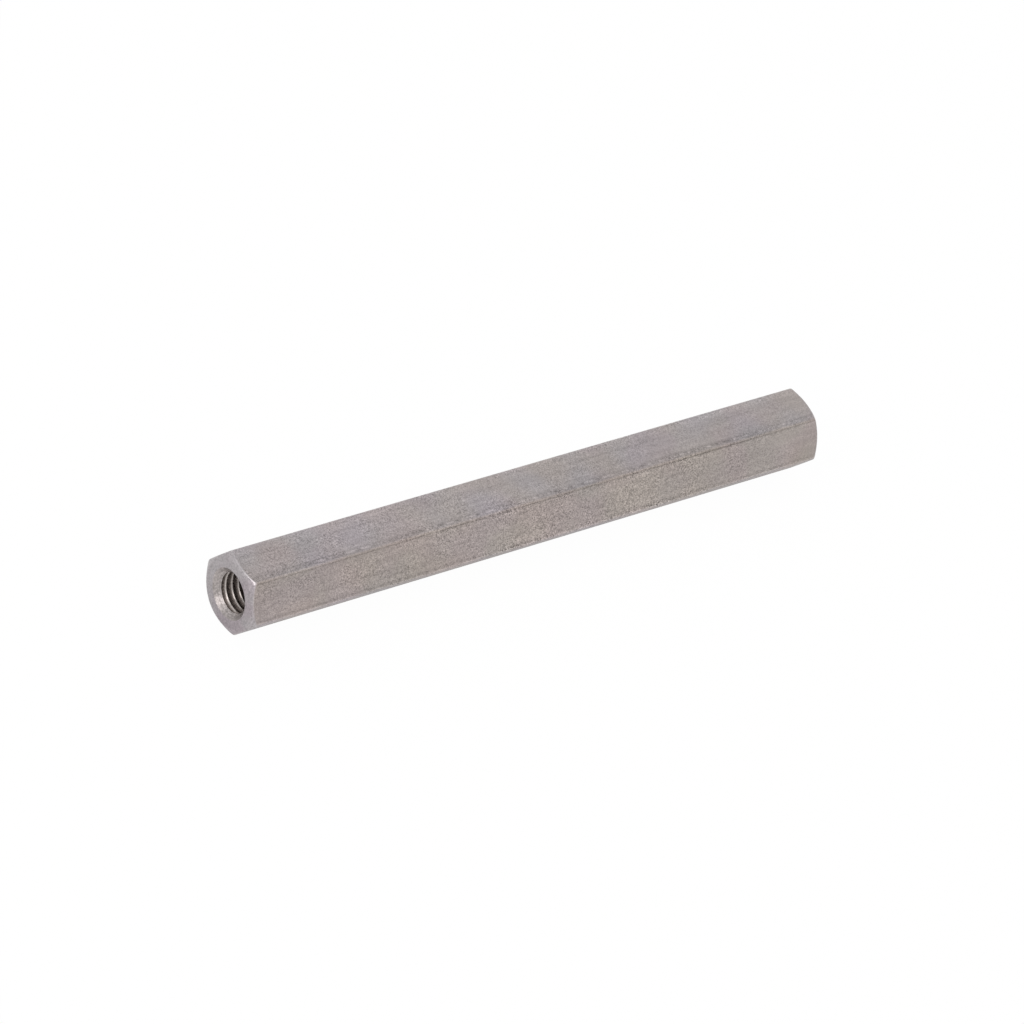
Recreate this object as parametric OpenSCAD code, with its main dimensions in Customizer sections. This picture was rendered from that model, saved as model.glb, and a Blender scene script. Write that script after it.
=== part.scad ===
// Hex standoff: a length of drawn hexagon bar, turned and tapped at both ends.
// It lies on one flat, with its axis along X and the middle of that flat at the origin.

/* [Hexagon bar] */
// Width across the flats
across_flats = 8; // [7:0.5:16]
// Length from end face to end face
length = 75; // [50:5:150]
// Radius on the six long corners, as the bar was drawn
corner_radius = 0.4; // [0.1:0.05:1]

/* [Turned ends] */
// Distance of each end face's rim inside the flats
rim_inset = 0.2; // [0.05:0.05:0.6]
// Angle between the chamfer and the end face
chamfer_angle = 30; // [15:1:45]

/* [Tapped holes] */
// Nominal diameter of the thread
thread_d = 5; // [3:0.5:6]
// Pitch of the thread
thread_pitch = 0.8; // [0.5:0.05:1]
// Depth of the full thread, from the end face
thread_depth = 15; // [6:1:20]
// Plain hole that the drill leaves past the thread
drill_runout = 3; // [1:0.5:4]
// Included angle of the drill's point
drill_point_angle = 118; // [90:1:140]
// Distance of the countersink's rim outside the thread
countersink_margin = 0.25; // [0.1:0.05:0.6]
// Included angle of the countersink
countersink_angle = 90; // [60:1:120]

/* [Hidden] */
steel = [0.63, 0.60, 0.59];
// How far a cutting shape runs past the surface that it cuts
overcut = 1;
flat_count = 6;
flat_turn = 360 / flat_count;
flat_r = across_flats / 2;
point_r = flat_r / cos(flat_turn / 2);
// Angle at which a corner's arc meets the flat beside it: slight, so that the two still cross cleanly
arc_break = 6;
// The arc's centre, and the point on a flat nearest to it, as distances from the axis towards the corner
arc_reach = corner_radius * cos(arc_break);
arc_centre_r = (flat_r - arc_reach) / cos(flat_turn / 2);
arc_foot_r = arc_centre_r + arc_reach * cos(flat_turn / 2);
rim_r = flat_r - rim_inset;
// The tap drill is one pitch smaller than the thread
hole_r = (thread_d - thread_pitch) / 2;
hole_depth = thread_depth + drill_runout;
point_depth = hole_r / tan(drill_point_angle / 2);
mouth_r = thread_d / 2 + countersink_margin;
countersink_depth = (mouth_r - hole_r) / tan(countersink_angle / 2);
$fn = 96;

// What rounding takes off a sharp corner that points along X
module corner_waste() {
    difference() {
        translate([arc_foot_r, -corner_radius])
            square([point_r + overcut - arc_foot_r, 2 * corner_radius]);
        translate([arc_centre_r, 0]) circle(r = corner_radius);
    }
}

// Section of the drawn bar, with a flat square to the X axis on each side
module bar_section() {
    difference() {
        rotate(flat_turn / 2) circle(r = point_r, $fn = flat_count);
        for (i = [0 : flat_count - 1])
            rotate((i + 0.5) * flat_turn) corner_waste();
    }
}

// Round envelope of the turning: a cylinder clear of the corners, with a cone at each end
module turned_envelope() {
    clear_r = point_r + overcut;
    cone_depth = (clear_r - rim_r) * tan(chamfer_angle);
    half = length / 2;
    rotate_extrude()
        polygon([
            [0, -half], [rim_r, -half], [clear_r, cone_depth - half],
            [clear_r, half - cone_depth], [rim_r, half], [0, half]
        ]);
}

// Tool for one hole, entering at z = 0 and running up: countersink, tapped wall and drill point
module tapped_hole() {
    flare = overcut * tan(countersink_angle / 2);
    rotate_extrude()
        polygon([
            [0, -overcut], [mouth_r + flare, -overcut], [hole_r, countersink_depth],
            [hole_r, hole_depth], [0, hole_depth + point_depth]
        ]);
}

// The whole standoff, cut from one bar
module standoff() {
    color(steel)
        translate([0, 0, flat_r])
            rotate([0, 90, 0])
                difference() {
                    intersection() {
                        linear_extrude(height = length, center = true) bar_section();
                        turned_envelope();
                    }
                    for (end = [0, 1])
                        mirror([0, 0, end])
                            translate([0, 0, -length / 2]) tapped_hole();
                }
}

standoff();
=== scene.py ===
"""Hex standoff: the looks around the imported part, with its threads, worn corners and steel finishes."""

import math

import bpy
import numpy as np
from mathutils import Matrix
from mathutils import Vector


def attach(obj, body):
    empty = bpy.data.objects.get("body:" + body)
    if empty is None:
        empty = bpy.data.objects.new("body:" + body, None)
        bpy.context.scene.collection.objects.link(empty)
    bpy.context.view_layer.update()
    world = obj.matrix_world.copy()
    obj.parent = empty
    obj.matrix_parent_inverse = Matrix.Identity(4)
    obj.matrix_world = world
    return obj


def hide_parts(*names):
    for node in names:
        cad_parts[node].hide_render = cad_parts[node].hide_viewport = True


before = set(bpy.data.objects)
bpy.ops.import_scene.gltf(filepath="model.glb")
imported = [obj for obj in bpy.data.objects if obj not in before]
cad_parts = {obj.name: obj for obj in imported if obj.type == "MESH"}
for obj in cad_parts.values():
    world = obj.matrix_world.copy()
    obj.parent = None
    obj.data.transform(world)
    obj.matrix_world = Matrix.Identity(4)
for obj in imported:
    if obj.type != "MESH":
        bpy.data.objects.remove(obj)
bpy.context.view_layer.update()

# Sizes of the part, in millimetres and degrees
HALF_LENGTH = 37.5
FLAT_R = 4.0
CORNER_RADIUS = 0.4
ARC_BREAK = 6.0
RIM_R = 3.8
CHAMFER_ANGLE = 30.0
THREAD_D = 5.0
PITCH = 0.8
THREAD_DEPTH = 15.0
DRILL_RUNOUT = 3.0
POINT_ANGLE = 118.0
MOUTH_R = 2.75

MM = 0.001
CORNERS = 6
CORNER_TURN = math.radians(60)
HOLE_R = (THREAD_D - PITCH) / 2
ROOT_R = THREAD_D / 2
HOLE_DEPTH = THREAD_DEPTH + DRILL_RUNOUT
POINT_DEPTH = HOLE_R / math.tan(math.radians(POINT_ANGLE / 2))
SIN_CHAMFER = math.sin(math.radians(CHAMFER_ANGLE))
COS_CHAMFER = math.cos(math.radians(CHAMFER_ANGLE))
TAN_CHAMFER = math.tan(math.radians(CHAMFER_ANGLE))
SIN_60 = math.sin(math.radians(60))
TAN_60 = math.tan(math.radians(60))

# Faces take one of these finishes
DRAWN, TURNED, CUT, TAPPED = 0, 1, 2, 3

# Columns of half a corner: shares of its arc, then distances along the flat from the arc's end
ARC_SHARES = (0.0, 0.34, 0.67, 1.0)
FLAT_INSETS = (0.035, 0.075, 0.115, 0.2, 0.42, 0.75, 1.15, 1.6)

# Rows of one end: shares of the drill's point, the first row of the plain wall, and radii on the end face
POINT_SHARES = (0.03, 0.5, 0.98)
WALL_START = HOLE_DEPTH - 0.03
FACE_RADII = (3.0, 3.3, 3.6)
# Half width of the rounded rim between the end face and the chamfer, and depth and radius of its middle
RIM_ROUND = 0.05
RIM_MIDDLE = (0.004, RIM_R - 0.003)
# Shares of the chamfer, and of the rounded break on its outer edge
CHAMFER_SHARES = (0.35, 0.7, 1.0)
BREAK_SHARES = (0.33, 0.67)

# Break on the chamfer's outer edge, with some extra on the corner tips of the left end and of the right end
EDGE_BREAK = 0.09
TIP_WEAR = ((0.04, 0.02, 0.14, 0.0, 0.07, 0.03), (0.05, 0.0, 0.03, 0.0, 0.02, 0.1))
TIP_WIDTH = 0.24
# Width of the first row of the drawn bar, past that break
FIRST_ROW = 0.08

# Rows along the bar, and how many of them the wear takes to set in at each end
BODY_ROWS = 260
EASE_ROWS = BODY_ROWS / 40

# Grooves that the die left beside each corner: place, width and depth, and how often the depth changes
GROOVE_PLACE = 0.243
GROOVE_WIDTH = 0.03
GROOVE_DEPTH = 0.012
GROOVE_STEP = 3.1
GROOVE_SEED = 40
# Knocks on the corners: width and depth, then how often small and large ones come and how rare they are
KNOCK_WIDTH = 0.14
KNOCK_DEPTH = 0.035
SMALL_STEP = 0.9
SMALL_RARITY = 0.45
SMALL_SEED = 70
LARGE_STEP = 2.7
LARGE_RARITY = 0.3
LARGE_SEED = 90

# Depths at which the thread's rows start, its groove sets in and is complete, and then fades and ends
THREAD_START = 0.2
LEAD_IN = (0.55, 0.9)
FADE_START = THREAD_DEPTH - 1.4
THREAD_END = THREAD_DEPTH + 0.6
# Turn of the thread in each hole, as a shift of its depth
LEFT_PHASE = 0.35
RIGHT_PHASE = 0.55

# Thread form for one pitch: axial offset and radius, from where one crest starts to where the next does.
# A crest is rounded over on the side of the mouth and has a small bevel on the other side.
CREST_FLAT = 0.08
CREST_ROUND = 0.16
BEVEL = 0.03
BEVEL_END = CREST_FLAT + 1.5 * BEVEL
BEVEL_HEIGHT = SIN_60 * BEVEL
ROUND_START = PITCH - SIN_60 * CREST_ROUND
ROUND_HEIGHT = 0.5 * CREST_ROUND
PROFILE = (
    (0.0, HOLE_R),
    (CREST_FLAT, HOLE_R),
    (BEVEL_END, HOLE_R + BEVEL_HEIGHT),
    (BEVEL_END + (ROOT_R - HOLE_R - BEVEL_HEIGHT) / TAN_60, ROOT_R),
    (ROUND_START - (ROOT_R - HOLE_R - ROUND_HEIGHT) / TAN_60, ROOT_R),
    (ROUND_START, HOLE_R + ROUND_HEIGHT),
    (PITCH - 0.5 * CREST_ROUND, HOLE_R + (1 - SIN_60) * CREST_ROUND),
)
PER_PITCH = len(PROFILE)
# The thread's rows start this many pitches early, so that they reach the first limit all the way round
EARLY_PITCHES = 2

# Lengths that differ by less than this are the same
TINY = 1e-6
# Edges that turn by more than this are sharp, in degrees
SHARP_ANGLE = 40.0


# The section of the bar

def half_corner():
    """Points from a corner's middle to the middle of a flat, each with its distance from the corner."""
    half_turn = CORNER_TURN / 2
    arc_break = math.radians(ARC_BREAK)
    arc_centre = (FLAT_R - CORNER_RADIUS * math.cos(arc_break)) / math.cos(half_turn)
    arc_half = half_turn - arc_break
    arc_length = CORNER_RADIUS * arc_half
    flat_end = arc_centre * math.sin(half_turn) + CORNER_RADIUS * math.sin(arc_break)
    normal = (math.cos(half_turn), math.sin(half_turn))
    tangent = (math.sin(half_turn), -math.cos(half_turn))
    columns = []
    for share in ARC_SHARES:
        turn = arc_half * share
        point = (arc_centre + CORNER_RADIUS * math.cos(turn), CORNER_RADIUS * math.sin(turn))
        columns.append((point, arc_length * share))
    for inset in FLAT_INSETS + (flat_end,):
        along = flat_end - inset
        point = (FLAT_R * normal[0] + along * tangent[0], FLAT_R * normal[1] + along * tangent[1])
        columns.append((point, arc_length + inset))
    return columns


def section():
    """Columns round the axis: angle, radius, distance from the nearest corner, and kinds of half flat.

    Each half of a flat is of one of four kinds. Every other flat has the first two kinds, and the flats
    between have the last two. The shares of the first three are given, and the last kind has the rest.
    """
    half = half_corner()
    flat_middle = half[-1][1]
    angles = []
    radii = []
    distances = []
    kinds = []
    for corner in range(CORNERS):
        kind_before, kind_after = (3, 0) if corner % 2 else (1, 2)
        before = [(-1, column) for column in reversed(half[1:-1])]
        after = [(1, column) for column in half]
        for side, (point, distance) in before + after:
            angles.append(CORNER_TURN * corner + side * math.atan2(point[1], point[0]))
            radii.append(math.hypot(point[0], point[1]))
            distances.append(distance)
            kind = np.zeros(4)
            if distance == 0.0:
                kind[[kind_before, kind_after]] = 0.5
            elif distance == flat_middle:
                kind[[kind_after, kind_after + 1]] = 0.5
            else:
                kind[kind_before if side < 0 else kind_after] = 1.0
            kinds.append(kind[:3])
    angles = np.array(angles) % (2 * math.pi)
    order = np.argsort(angles)
    return angles[order], np.array(radii)[order], np.array(distances)[order], np.array(kinds)[order]


ANGLE, RADIUS, CORNER_DISTANCE, KIND_SHARES = section()
COLUMNS = len(ANGLE)
# The nearest corner to each column, and the side of it that the column is on: -1 before it and 1 after it
TURNS = np.round(ANGLE / CORNER_TURN)
CORNER = TURNS.astype(int) % CORNERS
CORNER_SIDE = np.sign(np.sin(ANGLE - CORNER_TURN * TURNS))
# How bright the chamfer's edge is made by handling wear and a painted highlight: faint on most flats,
# bright on the corners' crowns and, less and less away from them, on the second kind of half flat
CROWN_WIDTH = 0.1
CROWN_RUB_AND_HIGHLIGHT = 0.68
FAINT_RUB_AND_HIGHLIGHT = 0.08 + 0.12 * KIND_SHARES[:, 2]
FADING_RUB_AND_HIGHLIGHT = np.interp(CORNER_DISTANCE, (CROWN_WIDTH, 0.5, 1.3, 2.0), (0.8, 0.55, 0.3, 0.05))
RUBBED_AND_HIGHLIGHT = FAINT_RUB_AND_HIGHLIGHT + FADING_RUB_AND_HIGHLIGHT * KIND_SHARES[:, 1]
RUBBED_AND_HIGHLIGHT = np.where(CORNER_DISTANCE < CROWN_WIDTH, CROWN_RUB_AND_HIGHLIGHT, RUBBED_AND_HIGHLIGHT)


# Wear along the bar

# How many random knots the noise has, and which of them is at x = 0
KNOTS = 4096
ORIGIN_KNOT = 1000


def wander(x, seed, step):
    """Smooth repeatable noise along a line, between -1 and 1, with a knot at every step."""
    knots = np.random.default_rng(seed).uniform(-1, 1, KNOTS)
    place = x / step + ORIGIN_KNOT
    low = math.floor(place)
    share = place - low
    share = share * share * (3 - 2 * share)
    return knots[low % KNOTS] * (1 - share) + knots[(low + 1) % KNOTS] * share


def worn_radius(x):
    """Radius of the bar's surface in each column at x, with the die's grooves and the corners' knocks."""
    radius = RADIUS.copy()
    groove = np.exp(-((CORNER_DISTANCE - GROOVE_PLACE) / GROOVE_WIDTH) ** 2)
    crown = np.exp(-(CORNER_DISTANCE / KNOCK_WIDTH) ** 2)
    for corner in range(CORNERS):
        for side in (-1, 1):
            here = (CORNER == corner) & (CORNER_SIDE == side)
            deep = 0.5 + 0.5 * wander(x, GROOVE_SEED + 2 * corner + side, GROOVE_STEP)
            radius = np.where(here, radius - GROOVE_DEPTH * deep * groove, radius)
        small = max(wander(x, SMALL_SEED + corner, SMALL_STEP) - SMALL_RARITY, 0)
        large = max(wander(x, LARGE_SEED + corner, LARGE_STEP) - LARGE_RARITY, 0)
        radius = radius - KNOCK_DEPTH * (small + 0.5 * large) * crown * (CORNER == corner)
    return radius


# The mesh: one closed skin, from the bottom of one hole to the bottom of the other

class Skin:
    """Vertices and faces of the closed skin, built row by row round the axis."""

    def __init__(self):
        self.points = []
        self.distances = []
        self.kinds = []
        self.rubbed_and_highlight = []
        self.faces = []
        self.finishes = []

    def add(self, x, column, radius, rubbed_and_highlight=False):
        """One vertex. Returns its number."""
        y = radius * math.cos(ANGLE[column])
        z = FLAT_R + radius * math.sin(ANGLE[column])
        self.points.append((x, y, z))
        self.distances.append(CORNER_DISTANCE[column])
        self.kinds.append(KIND_SHARES[column])
        self.rubbed_and_highlight.append(RUBBED_AND_HIGHLIGHT[column] if rubbed_and_highlight else 0.0)
        return len(self.points) - 1

    def ring(self, x, radius, rubbed_and_highlight=False):
        """One row. x and radius are single values or one for each column."""
        xs = np.broadcast_to(x, COLUMNS).tolist()
        radii = np.broadcast_to(radius, COLUMNS).tolist()
        return [self.add(xs[column], column, radii[column], rubbed_and_highlight) for column in range(COLUMNS)]

    def face(self, corners, finish):
        """One face, without the corners that fall together."""
        kept = list(dict.fromkeys(corners))
        if len(kept) > 2:
            self.faces.append(kept)
            self.finishes.append(finish)

    def join(self, a, b, finish, a_wrap=None, b_wrap=None):
        """Faces between two rows. A wrap is the vertex that follows a row's last one, if not its first."""
        a_next = a[1:] + [a[0] if a_wrap is None else a_wrap]
        b_next = b[1:] + [b[0] if b_wrap is None else b_wrap]
        for corners in zip(a, a_next, b_next, b):
            self.face(corners, finish(corners) if callable(finish) else finish)

    def fan(self, tip, row, finish, tip_first):
        """Faces between a row and the tip that it closes on."""
        for vertex, following in zip(row, row[1:] + row[:1]):
            self.face([tip, following, vertex] if tip_first else [tip, vertex, following], finish)


def countersink_r(depth):
    """Radius of the countersink, which has an included angle of 90 degrees, at a depth."""
    return MOUTH_R - depth


def thread_rows(right_end, phase):
    """Depth and radius of each thread row in each column. Rows follow the helix and stop at both limits."""
    pitches = math.ceil((THREAD_END - THREAD_START) / PITCH) + EARLY_PITCHES + 1
    offsets = np.array([turn * PITCH + offset for turn in range(pitches) for offset, _ in PROFILE])
    radii = np.array([radius for _, radius in PROFILE] * pitches)
    turned = ANGLE / (2 * math.pi)
    rise = (1 - turned) if right_end else turned
    depth = THREAD_START - EARLY_PITCHES * PITCH + phase + offsets[:, None] + PITCH * rise[None, :]
    depth = np.clip(depth, THREAD_START, THREAD_END)
    fade = np.clip((THREAD_END - depth) / (THREAD_END - FADE_START), 0, 1)
    fade = fade * np.clip((depth - LEAD_IN[0]) / (LEAD_IN[1] - LEAD_IN[0]), 0, 1)
    radius = HOLE_R + (radii[:, None] - HOLE_R) * fade
    cone = countersink_r(depth)
    inside = radius < cone
    out_depth = depth.copy()
    out_radius = np.where(inside, cone, radius)
    # Where a row on the countersink meets one on the thread, it slides to the edge between them
    gap = radius - cone
    for row, column in np.argwhere(inside[:-1] != inside[1:]):
        share = gap[row, column] / (gap[row, column] - gap[row + 1, column])
        edge_depth = depth[row, column] + share * (depth[row + 1, column] - depth[row, column])
        moved = row if inside[row, column] else row + 1
        if THREAD_START < depth[moved, column] < THREAD_END:
            out_depth[moved, column] = edge_depth
            out_radius[moved, column] = countersink_r(edge_depth)
    return out_depth, out_radius


class End:
    """One end of the bar, built from the drill's point out to the chamfer's edge."""

    def __init__(self, skin, right_end, phase):
        self.skin = skin
        self.right_end = right_end
        self.phase = phase
        self.origin = HALF_LENGTH if right_end else -HALF_LENGTH
        self.inward = -1 if right_end else 1
        self.row = None
        self.row_x = None
        self.build_bore()
        self.build_thread()
        self.build_face()
        self.build_chamfer()

    def x_at(self, depth):
        """Place along the axis, at a depth below this end's face."""
        return self.origin + self.inward * np.asarray(depth, float)

    def join(self, inner, outer, finish, inner_wrap=None, outer_wrap=None):
        """Faces between two rows, turned to the outside at either end."""
        if self.right_end:
            self.skin.join(outer, inner, finish, outer_wrap, inner_wrap)
        else:
            self.skin.join(inner, outer, finish, inner_wrap, outer_wrap)

    def extend(self, depth, radius, finish, rubbed_and_highlight=False):
        """A new row outside the last one, joined to it."""
        self.row_x = self.x_at(depth)
        row = self.skin.ring(self.row_x, radius, rubbed_and_highlight)
        if self.row is not None:
            self.join(self.row, row, finish)
        self.row = row

    def point_row(self, share):
        """A row on the drill's point, at a share of the way from its tip to the wall."""
        self.extend(HOLE_DEPTH + POINT_DEPTH * (1 - share), HOLE_R * share, CUT)

    def build_bore(self):
        """Drill's point and the plain wall, out to the thread."""
        tip = self.skin.add(float(self.x_at(HOLE_DEPTH + POINT_DEPTH)), 0, 0.0)
        self.point_row(POINT_SHARES[0])
        self.skin.fan(tip, self.row, CUT, not self.right_end)
        for share in POINT_SHARES[1:]:
            self.point_row(share)
        self.extend(WALL_START, HOLE_R, CUT)
        self.extend(THREAD_END, HOLE_R, CUT)

    def on_cone(self, vertex):
        """Whether a vertex is on the countersink."""
        x, y, z = self.skin.points[vertex]
        return abs(math.hypot(y, z - FLAT_R) - countersink_r(abs(x - self.origin))) < TINY

    def cone_or_thread(self, corners):
        """Finish of a face between two of the thread's rows."""
        return CUT if all(self.on_cone(vertex) for vertex in corners) else TAPPED

    def build_thread(self):
        """Thread and countersink. Rows that have stopped at a limit share that limit's vertices."""
        end_row = self.row
        start_row = self.skin.ring(self.x_at(THREAD_START), countersink_r(THREAD_START))
        depth, radius = thread_rows(self.right_end, self.phase)
        last = len(depth) - 1
        grid = np.zeros(depth.shape, int)
        for column in range(COLUMNS):
            for row in range(last + 1):
                here = depth[row, column]
                if here < THREAD_START + TINY:
                    grid[row, column] = start_row[column]
                elif here > THREAD_END - TINY:
                    grid[row, column] = end_row[column]
                else:
                    grid[row, column] = self.skin.add(float(self.x_at(here)), column, radius[row, column])
        # A row's last vertex is followed by the first one of the row a pitch away
        step = -PER_PITCH if self.right_end else PER_PITCH
        wraps = [int(grid[min(max(row + step, 0), last), 0]) for row in range(last + 1)]
        grid = grid.tolist()
        for row in range(last, 0, -1):
            self.join(grid[row], grid[row - 1], self.cone_or_thread, wraps[row], wraps[row - 1])
        self.row = start_row

    def build_face(self):
        """Countersink's mouth, end face and its rounded rim."""
        self.extend(0.0, MOUTH_R, CUT)
        for radius in FACE_RADII + (RIM_R - RIM_ROUND,):
            self.extend(0.0, radius, TURNED)
        self.extend(*RIM_MIDDLE, TURNED)
        self.extend(RIM_ROUND * TAN_CHAMFER, RIM_R + RIM_ROUND, TURNED)

    def build_chamfer(self):
        """Chamfer, the rounded break on its outer edge and the first row of the drawn bar."""
        edge_depth = (RADIUS - RIM_R) * TAN_CHAMFER
        wear = np.array(TIP_WEAR[int(self.right_end)])[CORNER]
        edge = EDGE_BREAK + wear * np.exp(-(CORNER_DISTANCE / TIP_WIDTH) ** 2)
        low = RIM_R + RIM_ROUND
        high = RADIUS - edge * COS_CHAMFER
        for share in CHAMFER_SHARES:
            radius = low + (high - low) * share
            self.extend((radius - RIM_R) * TAN_CHAMFER, radius, TURNED)
        for share in BREAK_SHARES:
            # A curve that leaves the chamfer and meets the flat without a kink
            start = (1 - share) ** 2
            end = share ** 2
            depth = edge_depth + (end - start * SIN_CHAMFER) * edge
            radius = RADIUS - start * COS_CHAMFER * edge
            # The break's rows carry the rubbed edge and its painted highlight
            self.extend(depth, radius, TURNED, True)
        self.extend(edge_depth + edge, RADIUS, TURNED)
        self.extend(edge_depth + edge + FIRST_ROW, RADIUS, DRAWN)


def build_skin():
    skin = Skin()
    left = End(skin, False, LEFT_PHASE)
    right = End(skin, True, RIGHT_PHASE)
    previous = left.row
    for step in range(1, BODY_ROWS):
        xs = left.row_x + (right.row_x - left.row_x) * step / BODY_ROWS
        ease = min(1.0, min(step, BODY_ROWS - step) / EASE_ROWS)
        worn = worn_radius(float(xs.mean()))
        row = skin.ring(xs, RADIUS + (worn - RADIUS) * ease)
        skin.join(previous, row, DRAWN)
        previous = row
    skin.join(previous, right.row, DRAWN)
    return skin


def add_to_scene(name, data):
    made = bpy.data.objects.new(name, data)
    bpy.context.scene.collection.objects.link(made)
    return made


def make_piece(skin):
    mesh = bpy.data.meshes.new("standoff_body")
    mesh.from_pydata([(x * MM, y * MM, z * MM) for x, y, z in skin.points], [], skin.faces)
    mesh.polygons.foreach_set("material_index", skin.finishes)
    mesh.polygons.foreach_set("use_smooth", [True] * len(skin.faces))
    for name, values in (("corner_distance", skin.distances), ("rubbed_and_highlight", skin.rubbed_and_highlight)):
        attribute = mesh.attributes.new(name, "FLOAT", "POINT")
        attribute.data.foreach_set("value", np.array(values, np.float32))
    attribute = mesh.attributes.new("half_flat_kind", "FLOAT_VECTOR", "POINT")
    attribute.data.foreach_set("vector", np.array(skin.kinds, np.float32).ravel())
    mesh.validate()
    mesh.set_sharp_from_angle(angle=math.radians(SHARP_ANGLE))
    mesh.update()
    return add_to_scene("standoff_body", mesh)


# Materials

def rgb(r, g, b):
    return (r, g, b, 1.0)


class Nodes:
    """A short way to write the nodes of a material or of the world."""

    def __init__(self, owner):
        owner.use_nodes = True
        self.owner = owner
        self.tree = owner.node_tree
        self.tree.nodes.clear()

    def node(self, kind, inputs=None, **settings):
        """A node with its settings. Its inputs, by name or number, take values or other nodes' sockets."""
        made = self.tree.nodes.new(kind)
        for key, value in settings.items():
            setattr(made, key, value)
        for key, value in (inputs or {}).items():
            if isinstance(value, bpy.types.NodeSocket):
                self.tree.links.new(value, made.inputs[key])
            else:
                made.inputs[key].default_value = value
        return made

    def math(self, operation, a, b=0.0):
        return self.node("ShaderNodeMath", {0: a, 1: b}, operation=operation).outputs[0]

    def plus(self, a, b):
        return self.math("ADD", a, b)

    def minus(self, a, b):
        return self.math("SUBTRACT", a, b)

    def times(self, a, b):
        return self.math("MULTIPLY", a, b)

    def ramp(self, value, low, high, to_low=0.0, to_high=1.0):
        """A smooth step from one value to another."""
        inputs = {"Value": value, "From Min": low, "From Max": high, "To Min": to_low, "To Max": to_high}
        made = self.node("ShaderNodeMapRange", inputs, clamp=True, interpolation_type="SMOOTHSTEP")
        return made.outputs["Result"]

    def curve(self, value, points, reach=1.0):
        """A line through points (place, height), for places from 0 to reach and heights from 0 to 2."""
        made = self.node("ShaderNodeValToRGB", {"Fac": self.math("DIVIDE", value, reach)})
        stops = made.color_ramp.elements
        while len(stops) < len(points):
            stops.new(0.5)
        for stop, (place, height) in zip(stops, points):
            stop.position = place / reach
            stop.color = rgb(height / 2, height / 2, height / 2)
        return self.times(made.outputs["Color"], 2.0)

    def mix(self, share, a, b, blend="MIX"):
        """A blend of two colours, whose sockets come after those for other kinds of data."""
        inputs = {0: share, 6: a, 7: b}
        return self.node("ShaderNodeMix", inputs, data_type="RGBA", blend_type=blend).outputs[2]

    def grey(self, value):
        return self.node("ShaderNodeCombineColor", {0: value, 1: value, 2: value}).outputs[0]

    def shaded(self, colour, shade):
        """A colour made lighter or darker by a shade round 1."""
        return self.mix(1.0, colour, self.grey(shade), "MULTIPLY")

    def place(self):
        """Place on the object, in metres."""
        return self.node("ShaderNodeTexCoord").outputs["Object"]

    def split(self, vector):
        return list(self.node("ShaderNodeSeparateXYZ", {0: vector}).outputs)

    def millimetres(self, scale=(1, 1, 1), shift=(0, 0, 0)):
        """Place on the object in millimetres, times a scale, with a shift to another part of a pattern."""
        inputs = {"Vector": self.place(), "Scale": [size / MM for size in scale], "Location": shift}
        return self.node("ShaderNodeMapping", inputs).outputs["Vector"]

    def noise(self, vector, scale, detail=2.0, rough=0.5):
        inputs = {"Vector": vector, "Scale": scale, "Detail": detail, "Roughness": rough}
        return self.node("ShaderNodeTexNoise", inputs).outputs["Fac"]

    def speckle(self, vector, scale):
        """A random value in each small cell of the metal's grain."""
        cells = self.node("ShaderNodeTexVoronoi", {"Vector": vector, "Scale": scale})
        return self.node("ShaderNodeSeparateColor", {0: cells.outputs["Color"]}).outputs[0]

    def rings(self, scale):
        """Fine rings round the axis."""
        place = self.node("ShaderNodeCombineXYZ", {"X": self.axis_distance()})
        return self.noise(place.outputs[0], scale, 3.0, 0.7)

    def attribute(self, name, output="Fac"):
        return self.node("ShaderNodeAttribute", attribute_name=name).outputs[output]

    def kind_shares(self):
        """Share of each of the four kinds of half flat."""
        shares = self.split(self.attribute("half_flat_kind", "Vector"))
        known = self.plus(self.plus(shares[0], shares[1]), shares[2])
        return shares + [self.minus(1.0, known)]

    def axis_distance(self):
        """Distance from the standoff's axis, in millimetres."""
        _, y, z = self.split(self.place())
        height = self.minus(z, FLAT_R * MM)
        square = self.plus(self.math("POWER", y, 2.0), self.math("POWER", height, 2.0))
        return self.times(self.math("SQRT", square), 1 / MM)

    def along(self):
        """Share of the length, from 0 at the left end to 1 at the right."""
        x = self.split(self.place())[0]
        return self.plus(self.math("DIVIDE", x, 2 * HALF_LENGTH * MM), 0.5)

    def end_distance(self):
        """Depth below the nearer end face, in millimetres."""
        x = self.split(self.place())[0]
        return self.minus(HALF_LENGTH, self.times(self.math("ABSOLUTE", x), 1 / MM))

    def dot(self, vector, direction):
        inputs = {0: vector, 1: direction}
        return self.node("ShaderNodeVectorMath", inputs, operation="DOT_PRODUCT").outputs["Value"]

    def towards(self, degrees):
        """Distance from the axis in one direction across it, in millimetres. 0 degrees is +Y, 90 is up."""
        turn = math.radians(degrees)
        reach = self.dot(self.place(), (0.0, math.cos(turn) / MM, math.sin(turn) / MM))
        return self.minus(reach, FLAT_R * math.sin(turn))

    def mix_shaders(self, share, a, b):
        inputs = {0: share, 1: a.outputs[0], 2: b.outputs[0]}
        return self.node("ShaderNodeMixShader", inputs)

    def steel(self, colour, rough, height, bump_strength, bump_depth, metallic=1.0):
        """The finished material, with bumps that follow a height. Their depth is in millimetres."""
        inputs = {"Height": height, "Strength": bump_strength, "Distance": bump_depth * MM}
        bump = self.node("ShaderNodeBump", inputs)
        inputs = {"Base Color": colour, "Roughness": rough, "Metallic": metallic, "Normal": bump.outputs[0]}
        shader = self.node("ShaderNodeBsdfPrincipled", inputs)
        self.node("ShaderNodeOutputMaterial", {"Surface": shader.outputs[0]})
        return self.owner


def new_steel(name):
    return Nodes(bpy.data.materials.new(name))


# Farthest that the tones below reach from a corner, in millimetres
REACH = 2.4
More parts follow.
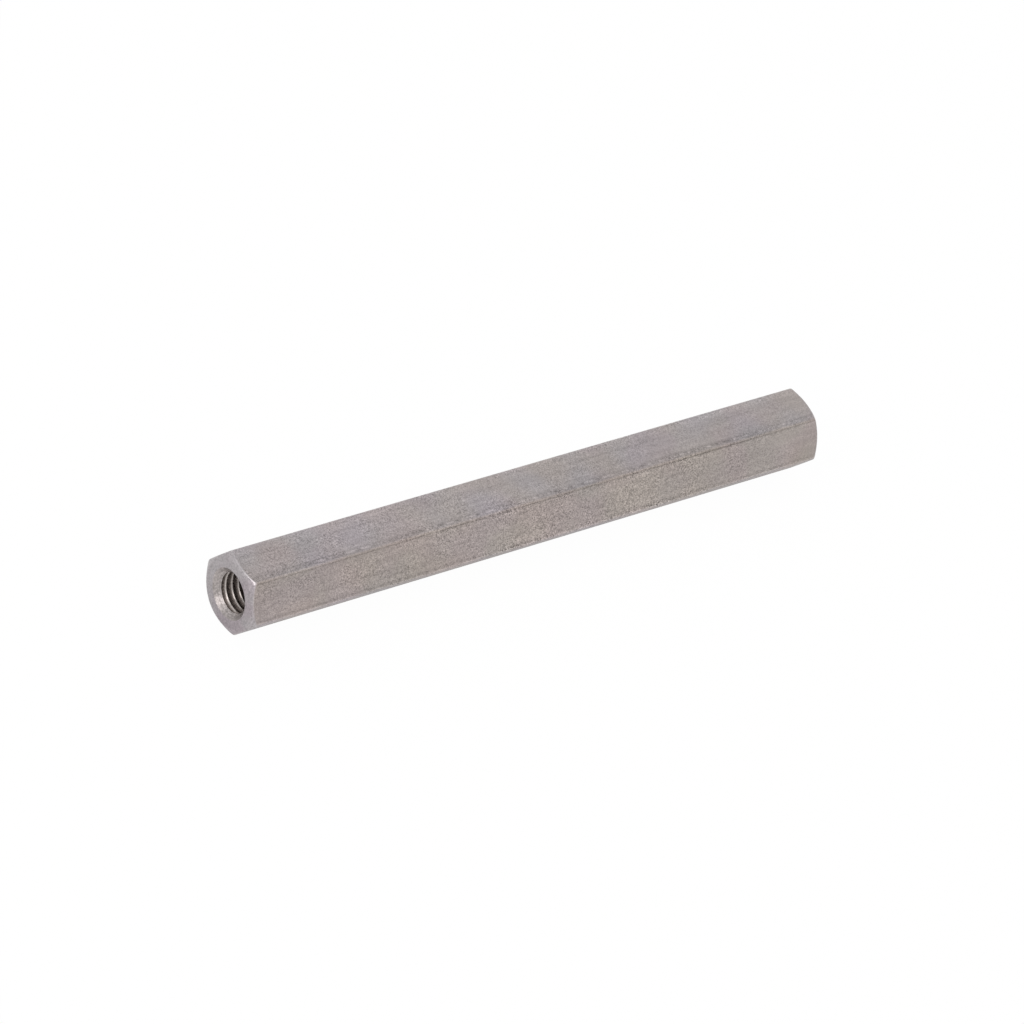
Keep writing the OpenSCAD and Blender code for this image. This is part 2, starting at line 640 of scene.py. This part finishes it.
# Tone of each kind of half flat against the distance from its corner. The last kind's bright first
# stops are a painted highlight on the crowns of its corners
HALF_FLATS = (
    ((0, 1.05), (0.14, 1.06), (0.6, 1.07), (0.9, 1.02),
     (1.22, 1.0), (1.36, 0.94), (1.5, 1.0), (2.4, 1.0)),
    ((0, 0.99), (0.12, 0.99), (0.24, 0.83), (0.34, 0.91),
     (0.44, 0.99), (0.55, 0.91), (0.66, 0.83), (0.9, 1.0)),
    ((0, 0.99), (0.05, 0.99), (0.11, 0.79), (0.18, 0.75),
     (0.26, 0.98), (0.4, 1.04), (0.8, 1.02), (2.4, 1.012)),
    ((0, 1.25), (0.12, 1.25), (0.24, 1.02), (0.37, 0.86),
     (0.47, 0.95), (0.65, 1.055), (1.05, 1.05), (1.3, 1.012)),
)
# Strength of those tones against the share of the length
LINE_TRENDS = (
    ((0, 1.0), (1, 1.0)),
    ((0, 0.85), (0.55, 0.75), (0.72, 0.75), (0.83, 1.2), (0.9, 0.8), (1, 0.8)),
    ((0, 0.9), (0.1, 0.65), (0.28, 1.2), (0.45, 0.85), (0.58, 0.9),
     (0.7, 1.2), (0.83, 1.5), (0.9, 0.9), (1, 0.85)),
    ((0, 1.05), (1, 0.8)),
)
# Dashes between the two lines of the second kind: where they are, and their strength along the length
DASH_PLACE = ((0.28, 0.0), (0.38, 1.0), (0.5, 1.0), (0.62, 0.0))
DASH_TREND = ((0, 0.6), (0.15, 1.3), (0.5, 1.4), (0.7, 1.35), (0.82, 1.5), (1, 1.2))
# Where a corner's crown is, against the distance from its middle
CROWN_PLACE = ((0.0, 1.0), (0.06, 1.0), (0.13, 0.0))
# Shares of the fine, middle and coarse grain
FINE, MIDDLING, COARSE = 0.74, 0.19, 0.24
# Strength of the grain along the length, on the flats with the last two kinds
GRAIN_TREND = ((0.0, 0.92), (0.45, 1.2), (0.76, 1.18), (0.82, 1.0), (0.88, 0.68), (1.0, 0.5))
# Where the grain is changed beside a corner
GRAIN_PLACE = ((0.05, 1.0), (0.5, 1.0), (0.75, 0.0))


def corner_lines_and_highlights(nodes, shares, along):
    """Lighter or darker broken lines beside the bar's long corners, and painted highlights on some crowns.
    """
    jitter = nodes.noise(nodes.millimetres((1.0, 0.3, 0.3)), 1.3, 3.0, 0.7)
    distance = nodes.plus(nodes.attribute("corner_distance"), nodes.ramp(jitter, 0.25, 0.75, -0.01, 0.01))
    lines = 0.0
    for share, points, trend in zip(shares, HALF_FLATS, LINE_TRENDS):
        change = nodes.minus(nodes.curve(distance, points, REACH), 1.0)
        change = nodes.times(change, nodes.curve(along, trend))
        lines = nodes.plus(nodes.times(share, change), lines)
    broken = nodes.noise(nodes.millimetres((0.5, 0.9, 0.9)), 1.0, 3.0, 0.6)
    lines = nodes.times(lines, nodes.ramp(broken, 0.34, 0.66, 0.9, 1.14))
    # Light and dark dashes between the two lines on the second kind of half flat
    dashes = nodes.noise(nodes.millimetres((1.0, 0.2, 0.2)), 1.5, 3.0, 0.7)
    dashes = nodes.ramp(dashes, 0.3, 0.7, -0.27, 0.2)
    dashes = nodes.times(dashes, nodes.curve(distance, DASH_PLACE, REACH))
    dashes = nodes.times(nodes.times(dashes, shares[1]), nodes.curve(along, DASH_TREND))
    # A painted highlight: a light crown by the left end, on the corners between the second and third kinds
    crown = nodes.curve(distance, CROWN_PLACE, REACH)
    crown = nodes.times(crown, nodes.plus(shares[1], shares[2]))
    crown = nodes.times(crown, nodes.ramp(along, 0.0, 0.25, 0.17, 0.02))
    return nodes.plus(nodes.plus(nodes.plus(lines, crown), dashes), 1.0)


def drawn_tint(nodes, first):
    """Cool, warm and mauve patches. Here first is the share of the flats with the first two kinds."""
    # Cool and warm patches are stronger on those flats
    warm = nodes.ramp(nodes.noise(nodes.millimetres(shift=(-40, -267, 93)), 0.22, 0.0), 0.22, 0.78)
    contrast = nodes.plus(0.52, nodes.times(first, 0.48))
    warm = nodes.plus(nodes.times(nodes.minus(warm, 0.5), contrast), 0.5)
    colour = nodes.mix(warm, rgb(0.3685, 0.3495, 0.3556), rgb(0.3815, 0.3495, 0.3335))
    # Mauve patches are a little weaker there, but those flats are a little mauve all over
    mauve = nodes.noise(nodes.millimetres((1, 1.1, 0.9), (163, -221, 126)), 0.26, 0.0)
    mauve = nodes.times(nodes.ramp(mauve, 0.34, 0.66), nodes.minus(0.8, nodes.times(first, 0.15)))
    colour = nodes.mix(mauve, colour, rgb(1.008, 0.968, 1.008), "MULTIPLY")
    # Painted tint: the mauve all over those flats, the top one among them, stands in for the light it gets
    return nodes.mix(first, colour, rgb(1.0, 0.993, 1.008), "MULTIPLY")


def grain_strength(nodes, first, along):
    """How strong the grain is: uneven, weaker by the right end, and changed beside the corners."""
    uneven = nodes.ramp(nodes.noise(nodes.millimetres(), 0.33, 2.0), 0.35, 0.65, 0.62, 1.07)
    first_trend = nodes.times(first, nodes.ramp(along, 0.0, 1.0, 0.98, 0.6))
    last_trend = nodes.times(nodes.minus(1.0, first), nodes.curve(along, GRAIN_TREND))
    strength = nodes.times(uneven, nodes.plus(first_trend, last_trend))
    beside = nodes.curve(nodes.attribute("corner_distance"), GRAIN_PLACE, REACH)
    beside = nodes.times(beside, nodes.ramp(along, 0.0, 0.6, -0.25, 0.35))
    return nodes.times(strength, nodes.plus(beside, 1.0))


def drawn_steel():
    """Matt tumbled bar: speckled, softly mottled, with broken dark lines beside the long corners."""
    nodes = new_steel("drawn_steel")
    place = nodes.millimetres()
    along = nodes.along()
    shares = nodes.kind_shares()
    first = nodes.plus(shares[0], shares[1])
    # Grain in three sizes, lighter and darker than its mean
    coarse = nodes.noise(place, 4.2, 3.0, 0.62)
    grain = nodes.times(nodes.speckle(place, 11.5), FINE)
    grain = nodes.plus(grain, nodes.times(nodes.speckle(place, 6.5), MIDDLING))
    grain = nodes.plus(grain, nodes.times(coarse, COARSE))
    grain = nodes.minus(grain, (FINE + MIDDLING + COARSE) / 2)
    shade = nodes.plus(nodes.times(grain, grain_strength(nodes, first, along)), 1.0)
    shade = nodes.times(shade, corner_lines_and_highlights(nodes, shares, along))
    # Faint streaks along the bar, and clouds
    streak = nodes.noise(nodes.millimetres((0.05, 1, 1)), 2.6, 2.0)
    shade = nodes.times(shade, nodes.ramp(streak, 0.3, 0.7, 1.05, 0.95))
    cloudy = nodes.noise(nodes.millimetres(shift=(-170, 97, -145)), 0.2, 1.0)
    shade = nodes.times(shade, nodes.ramp(cloudy, 0.34, 0.66, 0.972, 1.028))
    colour = nodes.shaded(drawn_tint(nodes, first), shade)
    rough = nodes.ramp(coarse, 0.3, 0.7, 0.56, 0.46)
    return nodes.steel(colour, rough, coarse, 0.3, 0.05)


def turned_steel():
    """Faced ends and chamfers: cooler than the bar, fine rings, rubbed edges with a painted highlight."""
    nodes = new_steel("turned_steel")
    rings = nodes.rings(7.0)
    place = nodes.millimetres()
    mottle = nodes.ramp(nodes.noise(nodes.millimetres(shift=(35, 45, 16)), 0.26, 2.0), 0.36, 0.64)
    colour = nodes.mix(mottle, rgb(0.368, 0.326, 0.348), rgb(0.394, 0.370, 0.380))
    grain = nodes.times(nodes.speckle(place, 7.0), 0.36)
    grain = nodes.plus(grain, nodes.times(nodes.noise(place, 3.6, 3.0, 0.62), 0.44))
    shade = nodes.plus(grain, nodes.ramp(rings, 0.3, 0.7, 0.56, 0.68))
    # Painted shade: the end face is a little darker than the chamfer
    shade = nodes.times(shade, nodes.ramp(nodes.axis_distance(), RIM_R - 0.1, RIM_R + 0.1, 0.95, 1.0))
    # Painted highlight, with handling wear: the chamfer's rounded edge is blended toward a light colour
    colour = nodes.mix(nodes.attribute("rubbed_and_highlight"), nodes.shaded(colour, shade), rgb(0.66, 0.625, 0.63))
    rough = nodes.ramp(rings, 0.3, 0.7, 0.44, 0.36)
    return nodes.steel(colour, rough, rings, 0.2, 0.03)


def cut_steel():
    """Countersinks and drilled holes: bright freshly cut metal, cutter marks, painted light on one side."""
    nodes = new_steel("cut_steel")
    rings = nodes.rings(8.0)
    place = nodes.millimetres()
    chatter = nodes.noise(place, 3.4, 3.0, 0.65)
    colour = nodes.mix(nodes.ramp(chatter, 0.3, 0.7), rgb(0.282, 0.257, 0.25), rgb(0.379, 0.347, 0.34))
    shade = nodes.plus(nodes.times(nodes.speckle(place, 6.5), 0.46), 0.77)
    shade = nodes.times(shade, nodes.ramp(rings, 0.3, 0.7, 0.84, 1.18))
    # Painted light: the cut metal is lighter on one side of the axis
    shade = nodes.times(shade, nodes.ramp(nodes.towards(25.0), 1.0, 2.4, 1.0, 1.27))
    rough = nodes.ramp(rings, 0.3, 0.7, 0.43, 0.38)
    height = nodes.plus(nodes.times(rings, 0.4), chatter)
    return nodes.steel(nodes.shaded(colour, shade), rough, height, 0.35, 0.05)


def tapped_steel():
    """Threads: burnished crests and brown oily roots, with painted shade on the roots and deeper crests."""
    nodes = new_steel("tapped_steel")
    place = nodes.millimetres()
    root = nodes.ramp(nodes.axis_distance(), HOLE_R + 0.07, HOLE_R + 0.22)
    torn = nodes.noise(place, 4.0, 3.0, 0.65)
    crest = nodes.mix(nodes.ramp(torn, 0.3, 0.7), rgb(0.32, 0.29, 0.277), rgb(0.51, 0.472, 0.45))
    # Painted shade: the crests get darker deeper into the hole
    crest = nodes.shaded(crest, nodes.ramp(nodes.end_distance(), 0.8, 2.4, 1.0, 0.72))
    # Brown oil in the grooves, and painted shade that darkens them
    oil_and_groove_shade = nodes.mix(nodes.speckle(place, 7.0), rgb(0.14, 0.118, 0.108), rgb(0.36, 0.305, 0.278))
    rough = nodes.mix(root, nodes.grey(nodes.ramp(torn, 0.3, 0.7, 0.22, 0.11)), rgb(0.68, 0.68, 0.68))
    metallic = nodes.minus(1.0, nodes.times(root, 0.5))
    return nodes.steel(nodes.mix(root, crest, oil_and_groove_shade), rough, torn, 0.3, 0.04, metallic)


standoff = make_piece(build_skin())
# In the order of the finishes' numbers
for make_steel in (drawn_steel, turned_steel, cut_steel, tapped_steel):
    standoff.data.materials.append(make_steel())
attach(standoff, "root")
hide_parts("standoff")


# Stage, light and camera

WHITE = rgb(1.0, 1.0, 1.0)
MIDDLE = Vector((0, 0, FLAT_R * MM))
# Sizes of the floor and the lamp, in millimetres. The floor is a little below the flat that lies on it.
FLOOR_HALF = 6000.0
FLOOR_DROP = 0.02
KEY_SIZE = 360.0
KEY_DISTANCE = 600.0
# How much of the floor is plain white to the camera, and in the steel's reflections
FLOOR_GLOW = 0.975
REFLECTED_GLOW = 0.55


def make_floor():
    low = -FLOOR_DROP * MM
    half = FLOOR_HALF * MM
    mesh = bpy.data.meshes.new("floor")
    corners = [(-half, -half, low), (half, -half, low), (half, half, low), (-half, half, low)]
    mesh.from_pydata(corners, [], [(0, 1, 2, 3)])
    floor = add_to_scene("floor", mesh)
    nodes = Nodes(bpy.data.materials.new("white_floor"))
    path = nodes.node("ShaderNodeLightPath")
    reflected = nodes.times(path.outputs["Is Glossy Ray"], REFLECTED_GLOW)
    seen = nodes.times(path.outputs["Is Camera Ray"], FLOOR_GLOW)
    paper = nodes.node("ShaderNodeBsdfDiffuse", {"Color": rgb(0.9, 0.9, 0.9)})
    glow = nodes.node("ShaderNodeEmission", {"Color": WHITE, "Strength": 1.0})
    blend = nodes.mix_shaders(nodes.math("MAXIMUM", reflected, seen), paper, glow)
    nodes.node("ShaderNodeOutputMaterial", {"Surface": blend.outputs[0]})
    mesh.materials.append(nodes.owner)


def make_world():
    """An even white tent, a little warmer low down in front of the object than behind it."""
    world = bpy.data.worlds.new("studio")
    bpy.context.scene.world = world
    nodes = Nodes(world)
    front = Vector((0.58, -0.81, 0.1)).normalized()
    facing = nodes.dot(nodes.node("ShaderNodeTexCoord").outputs["Generated"], front)
    tint = nodes.mix(nodes.ramp(facing, 0.1, 0.9), WHITE, rgb(1.015, 0.95, 0.855))
    tent = nodes.node("ShaderNodeBackground", {"Color": tint, "Strength": 1.0})
    white = nodes.node("ShaderNodeBackground", {"Color": WHITE, "Strength": 1.0})
    path = nodes.node("ShaderNodeLightPath")
    blend = nodes.mix_shaders(path.outputs["Is Camera Ray"], tent, white)
    nodes.node("ShaderNodeOutputWorld", {"Surface": blend.outputs[0]})


def make_key():
    """A square softbox, up and to the left, which faces the middle of the object."""
    lamp = bpy.data.lights.new("key", "AREA")
    lamp.shape = "RECTANGLE"
    lamp.size = KEY_SIZE * MM
    lamp.size_y = KEY_SIZE * MM
    lamp.energy = 0.8
    lamp.color = (1.0, 0.97, 0.96)
    holder = add_to_scene("key", lamp)
    away = Vector((-0.82, -0.05, 0.57)).normalized()
    holder.location = MIDDLE + away * KEY_DISTANCE * MM
    holder.rotation_mode = "QUATERNION"
    holder.rotation_quaternion = (-away).to_track_quat("-Z", "Y")


# Direction from the object to the camera and the camera's roll, in degrees
AZIMUTH = -53.01158
ELEVATION = 43.19514
ROLL = 25.79293
# Distance, shifts to the left and down in the picture, and focal length, in millimetres
DISTANCE = 561.0606
SHIFT_LEFT = 1.0404
SHIFT_DOWN = 0.4710
LENS = 190.4772


def make_camera():
    azimuth = math.radians(AZIMUTH)
    elevation = math.radians(ELEVATION)
    roll = math.radians(ROLL)
    back = Vector((
        math.sin(azimuth) * math.cos(elevation),
        -math.cos(azimuth) * math.cos(elevation),
        math.sin(elevation),
    ))
    level = Vector((0, 0, 1)).cross(back).normalized()
    upright = back.cross(level)
    right = math.cos(roll) * level + math.sin(roll) * upright
    up = math.cos(roll) * upright - math.sin(roll) * level
    data = bpy.data.cameras.new("camera")
    data.sensor_width = 36.0
    data.lens = LENS
    data.clip_start = 0.01
    data.clip_end = 50.0
    camera = add_to_scene("camera", data)
    place = MIDDLE + (back * DISTANCE - right * SHIFT_LEFT - up * SHIFT_DOWN) * MM
    turn = Matrix((right, up, back)).transposed()
    camera.matrix_world = Matrix.Translation(place) @ turn.to_4x4()
    bpy.context.scene.camera = camera


make_floor()
make_world()
make_key()
make_camera()
bpy.context.scene.view_settings.view_transform = "Standard"
